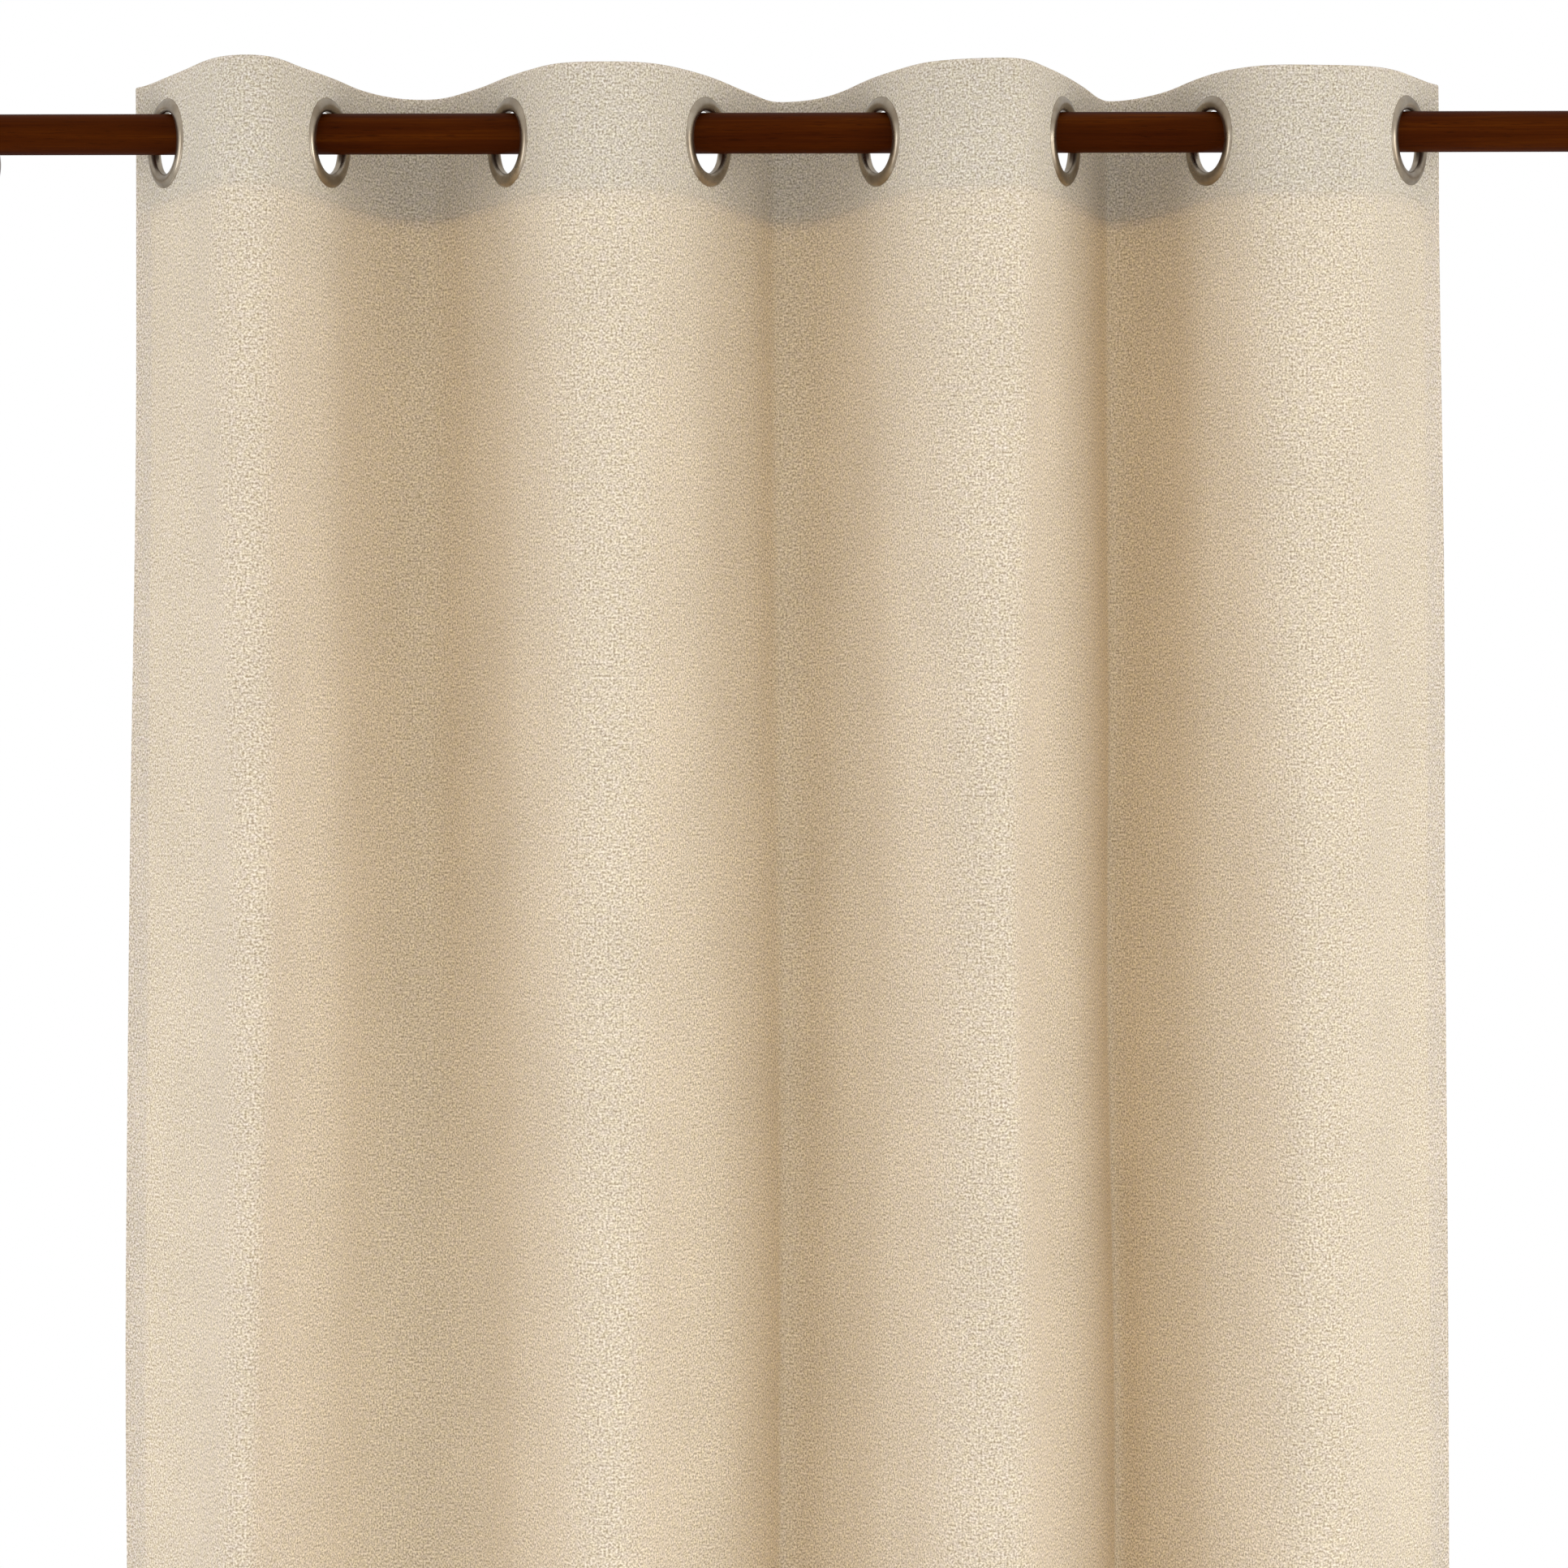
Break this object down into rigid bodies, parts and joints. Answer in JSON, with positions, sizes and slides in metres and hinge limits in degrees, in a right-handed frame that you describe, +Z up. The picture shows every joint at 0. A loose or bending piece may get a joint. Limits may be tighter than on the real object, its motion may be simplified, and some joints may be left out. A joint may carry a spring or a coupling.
{
  "type": "eyelet curtain on a rod",
  "caption": "Floor-length linen-look curtain whose metal eyelets thread over a dark stained wooden rod with ball finials, held in open wall brackets; it gathers in folds.",
  "frame": {"origin": "on the wall plane, midway between the two brackets, at the height of the rod's axis", "axes": "+X along the rod to the right as seen from the room, +Y into the wall, -Y into the room, +Z up"},
  "size_m": [1.3224, 0.2296, 2.4998],
  "materials": {
    "linen_look_cloth": "matt crinkled linen-look weave with a faint sheen",
    "heading_tape": "stiff off-white woven tape",
    "stained_wood": "dark walnut stain under satin varnish",
    "satin_nickel": "satin nickel, slightly warm",
    "plated_steel": "zinc plated"
  },
  "bodies": {
    "wall_brackets": {"wall_plate_left": "satin_nickel", "bracket_arm_left": "satin_nickel", "rod_cup_left": "satin_nickel", "arm_bolt_left": "plated_steel", "cup_bolt_left": "plated_steel", "wall_screw_left_top": "plated_steel", "wall_screw_left_bottom": "plated_steel", "wall_plate_right": "satin_nickel", "bracket_arm_right": "satin_nickel", "rod_cup_right": "satin_nickel", "arm_bolt_right": "plated_steel", "cup_bolt_right": "plated_steel", "wall_screw_right_top": "plated_steel", "wall_screw_right_bottom": "plated_steel"},
    "rod": {"rod": "stained_wood", "finial_left": "stained_wood", "finial_screw_left": "plated_steel", "finial_right": "stained_wood", "finial_screw_right": "plated_steel"},
    "thumb_screw_left": {"thumb_screw_left": "satin_nickel"},
    "thumb_screw_right": {"thumb_screw_right": "satin_nickel"},
    "panel_1": {"cloth_panel_1": "linen_look_cloth", "heading_tape_1": "heading_tape", "eyelet_front_1": "satin_nickel", "eyelet_back_1": "satin_nickel"},
    "panel_2": {"cloth_panel_2": "linen_look_cloth", "heading_tape_2": "heading_tape", "eyelet_front_2": "satin_nickel", "eyelet_back_2": "satin_nickel"},
    "panel_3": {"cloth_panel_3": "linen_look_cloth", "heading_tape_3": "heading_tape", "eyelet_front_3": "satin_nickel", "eyelet_back_3": "satin_nickel"},
    "panel_4": {"cloth_panel_4": "linen_look_cloth", "heading_tape_4": "heading_tape", "eyelet_front_4": "satin_nickel", "eyelet_back_4": "satin_nickel"},
    "panel_5": {"cloth_panel_5": "linen_look_cloth", "heading_tape_5": "heading_tape", "eyelet_front_5": "satin_nickel", "eyelet_back_5": "satin_nickel"},
    "panel_6": {"cloth_panel_6": "linen_look_cloth", "heading_tape_6": "heading_tape", "eyelet_front_6": "satin_nickel", "eyelet_back_6": "satin_nickel"},
    "panel_7": {"cloth_panel_7": "linen_look_cloth", "heading_tape_7": "heading_tape", "eyelet_front_7": "satin_nickel", "eyelet_back_7": "satin_nickel"},
    "panel_8": {"cloth_panel_8": "linen_look_cloth", "heading_tape_8": "heading_tape", "eyelet_front_8": "satin_nickel", "eyelet_back_8": "satin_nickel"}
  },
  "joints": [
    {"name": "rod_lift_out", "type": "slide", "parent": "wall_brackets", "child": "rod", "axis": [0, 0, 1], "range_m": [0, 0.025]},
    {"name": "thumb_screw_left_back_out", "type": "slide", "parent": "wall_brackets", "child": "thumb_screw_left", "axis": [0, -1, 0], "range_m": [0, 0.005]},
    {"name": "thumb_screw_right_back_out", "type": "slide", "parent": "wall_brackets", "child": "thumb_screw_right", "axis": [0, -1, 0], "range_m": [0, 0.005]},
    {"name": "curtain_gather", "type": "hinge", "parent": "rod", "child": "panel_1", "pos_m": [-0.38151, -0.12, 0], "axis": [0, 0, -1], "range_deg": [-3.5, 25]},
    {"name": "fold_1", "type": "hinge", "parent": "panel_1", "child": "panel_2", "pos_m": [-0.3325, -0.19349, 0], "axis": [0, 0, 1], "range_deg": [-7, 50]},
    {"name": "fold_2", "type": "hinge", "parent": "panel_2", "child": "panel_3", "pos_m": [-0.22725, -0.05333, 0], "axis": [0, 0, -1], "range_deg": [-7, 50]},
    {"name": "fold_3", "type": "hinge", "parent": "panel_3", "child": "panel_4", "pos_m": [-0.1105, -0.18411, 0], "axis": [0, 0, 1], "range_deg": [-7, 50]},
    {"name": "fold_4", "type": "hinge", "parent": "panel_4", "child": "panel_5", "pos_m": [0.00376, -0.0491, 0], "axis": [0, 0, -1], "range_deg": [-7, 50]},
    {"name": "fold_5", "type": "hinge", "parent": "panel_5", "child": "panel_6", "pos_m": [0.11351, -0.18702, 0], "axis": [0, 0, 1], "range_deg": [-7, 50]},
    {"name": "fold_6", "type": "hinge", "parent": "panel_6", "child": "panel_7", "pos_m": [0.21526, -0.04285, 0], "axis": [0, 0, -1], "range_deg": [-7, 50]},
    {"name": "fold_7", "type": "hinge", "parent": "panel_7", "child": "panel_8", "pos_m": [0.32126, -0.18386, 0], "axis": [0, 0, 1], "range_deg": [-7, 50]}
  ],
  "couplings": [
    {"joint": "fold_1", "follows": "curtain_gather", "ratio": 2},
    {"joint": "fold_2", "follows": "curtain_gather", "ratio": 2},
    {"joint": "fold_3", "follows": "curtain_gather", "ratio": 2},
    {"joint": "fold_4", "follows": "curtain_gather", "ratio": 2},
    {"joint": "fold_5", "follows": "curtain_gather", "ratio": 2},
    {"joint": "fold_6", "follows": "curtain_gather", "ratio": 2},
    {"joint": "fold_7", "follows": "curtain_gather", "ratio": 2}
  ]
}
